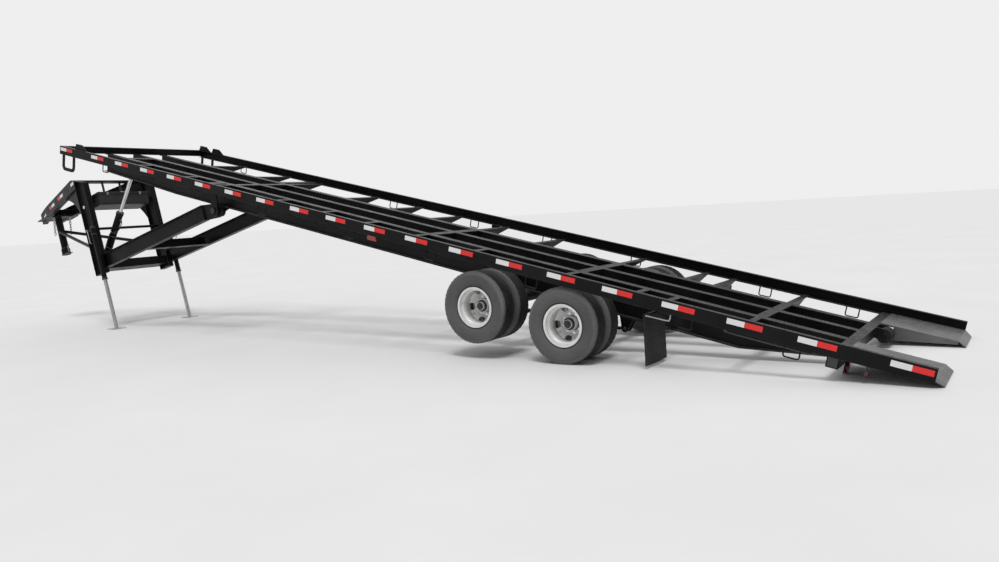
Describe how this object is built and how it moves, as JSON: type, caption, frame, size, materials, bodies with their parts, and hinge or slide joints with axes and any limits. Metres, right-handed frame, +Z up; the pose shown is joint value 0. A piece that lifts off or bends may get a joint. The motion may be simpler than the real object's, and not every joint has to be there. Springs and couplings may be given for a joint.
{
  "type": "gooseneck tilt bed trailer",
  "caption": "Long open-frame gooseneck trailer with its bed hinged to the neck and tilted by a hydraulic cylinder until its fork tips touch the ground.",
  "frame": {"origin": "on the ground, under the middle of the whole trailer's length and width", "axes": "+X rearward along the trailer, +Y to its right, +Z up"},
  "size_m": [15.089, 2.59, 3.0395],
  "materials": {
    "black_paint": "semi-gloss black paint",
    "chrome": "polished",
    "grey_box": "satin",
    "red_lens": "gloss",
    "rim": "silver paint",
    "rubber": "matt",
    "tyre": "matt",
    "zinc": "zinc plated"
  },
  "bodies": {
    "bed": {"outer_rails": "black_paint", "main_beams": "black_paint", "centre_beam": "black_paint", "front_header": "black_paint", "crossmembers": "black_paint", "outriggers": "black_paint", "rear_crossbar": "black_paint", "forks": "black_paint", "stake_loops": "black_paint", "front_loops": "black_paint", "rail_stops": "black_paint", "hinge_lugs": "black_paint", "hinge_pins": "zinc", "spring_hangers": "black_paint", "leaf_springs": "black_paint", "spring_seats": "black_paint", "equalizers": "black_paint", "spring_shackles": "black_paint", "axle_front": "black_paint", "axle_rear": "black_paint", "mud_flaps": "rubber", "flap_hangers": "zinc", "lamps": "red_lens", "lamp_brackets": "black_paint", "rod_bracket": "black_paint"},
    "gooseneck": {"neck_beams": "black_paint", "neck_posts": "black_paint", "lower_cross_beam": "black_paint", "neck_crossmember": "black_paint", "top_cross_beam": "black_paint", "cross_tube": "black_paint", "nose_beams": "black_paint", "nose_gussets": "black_paint", "coupler": "black_paint", "coupler_plates": "black_paint", "coupler_braces": "black_paint", "safety_chains": "zinc", "pump_box": "grey_box", "pump_box_cover": "grey_box", "box_hangers": "black_paint", "cylinder_base": "black_paint", "jacks": "black_paint", "jack_legs": "zinc"},
    "tilt_cylinder": {"cylinder_barrel": "black_paint"},
    "tilt_rod": {"cylinder_rod": "chrome"},
    "roller": {"rear_roller": "rubber"},
    "wheel_front_left": {"tyres_front_left": "tyre", "rims_front_left": "rim"},
    "wheel_front_right": {"tyres_front_right": "tyre", "rims_front_right": "rim"},
    "wheel_rear_left": {"tyres_rear_left": "tyre", "rims_rear_left": "rim"},
    "wheel_rear_right": {"tyres_rear_right": "tyre", "rims_rear_right": "rim"}
  },
  "joints": [
    {"name": "bed_tilt", "type": "hinge", "parent": "bed", "child": "gooseneck", "pos_m": [-1.8424, 0, 1.80586], "axis": [0, 1, 0], "range_deg": [0, 27.1]},
    {"name": "cylinder_swing", "type": "hinge", "parent": "gooseneck", "child": "tilt_cylinder", "pos_m": [-5.27864, -0.36, 1.07869], "axis": [0, 1, 0], "range_deg": [0, 32.56]},
    {"name": "rod_slide", "type": "slide", "parent": "tilt_cylinder", "child": "tilt_rod", "axis": [0.5923, 0, 0.8057], "range_m": [-0.81548, 0]},
    {"name": "roller_spin", "type": "hinge", "parent": "bed", "child": "roller", "pos_m": [6.85931, 0.465, 0.12254], "axis": [0, 1, 0], "continuous": true},
    {"name": "wheel_front_left_spin", "type": "hinge", "parent": "bed", "child": "wheel_front_left", "pos_m": [3.10639, -1.027, 0.55702], "axis": [0, 1, 0], "continuous": true},
    {"name": "wheel_front_right_spin", "type": "hinge", "parent": "bed", "child": "wheel_front_right", "pos_m": [3.10639, 1.027, 0.55702], "axis": [0, 1, 0], "continuous": true},
    {"name": "wheel_rear_left_spin", "type": "hinge", "parent": "bed", "child": "wheel_rear_left", "pos_m": [4.17143, -1.027, 0.391], "axis": [0, 1, 0], "continuous": true},
    {"name": "wheel_rear_right_spin", "type": "hinge", "parent": "bed", "child": "wheel_rear_right", "pos_m": [4.17143, 1.027, 0.391], "axis": [0, 1, 0], "continuous": true}
  ],
  "couplings": [
    {"joint": "cylinder_swing", "follows": "bed_tilt", "ratio": 1.2012},
    {"joint": "rod_slide", "follows": "bed_tilt", "m_per_rad": -1.7237}
  ]
}
